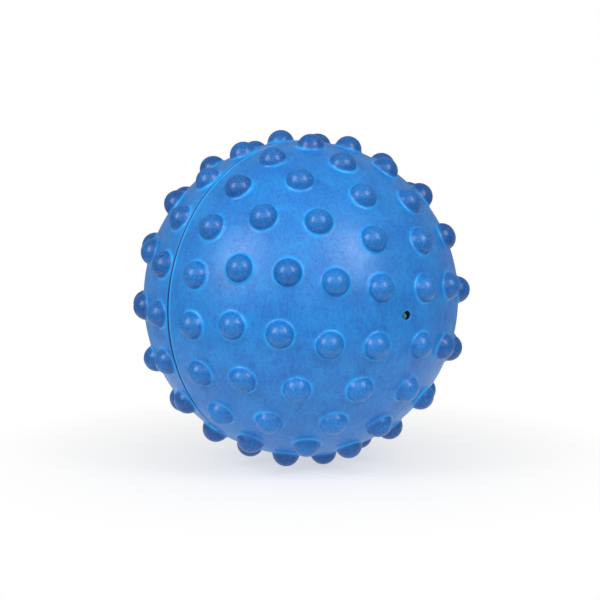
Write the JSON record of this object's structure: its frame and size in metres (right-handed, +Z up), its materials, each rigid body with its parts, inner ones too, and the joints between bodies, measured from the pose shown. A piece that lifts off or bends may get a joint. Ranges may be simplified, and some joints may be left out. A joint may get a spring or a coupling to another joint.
{
  "type": "stress ball",
  "caption": "Round squeeze ball with rows of rounded knobs: two rubber half shells round a foam core.",
  "frame": {"origin": "centre of the ball", "axes": "+Z up as the ball lies in use; the poles of the two halves lie on Y, with the vent hole beside the pole at -Y"},
  "size_m": [0.069, 0.068, 0.069],
  "materials": {
    "blue_rubber": "satin",
    "dark_cement": "matte",
    "green_foam": "matte"
  },
  "bodies": {
    "core": {"foam_core": "green_foam", "seam_cement": "dark_cement"},
    "front_half": {"front_half_shell": "blue_rubber"},
    "rear_half": {"rear_half_shell": "blue_rubber"}
  },
  "joints": [
    {"name": "front_squeeze", "type": "slide", "parent": "core", "child": "front_half", "axis": [0, 1, 0], "range_m": [0, 0.01], "stiffness_N_per_m": 6000, "deforming": ["front_half_shell", "foam_core"]},
    {"name": "rear_squeeze", "type": "slide", "parent": "core", "child": "rear_half", "axis": [0, -1, 0], "range_m": [0, 0.01], "stiffness_N_per_m": 6000, "deforming": ["rear_half_shell", "foam_core"]}
  ],
  "couplings": [
    {"joint": "rear_squeeze", "follows": "front_squeeze", "ratio": 1}
  ]
}
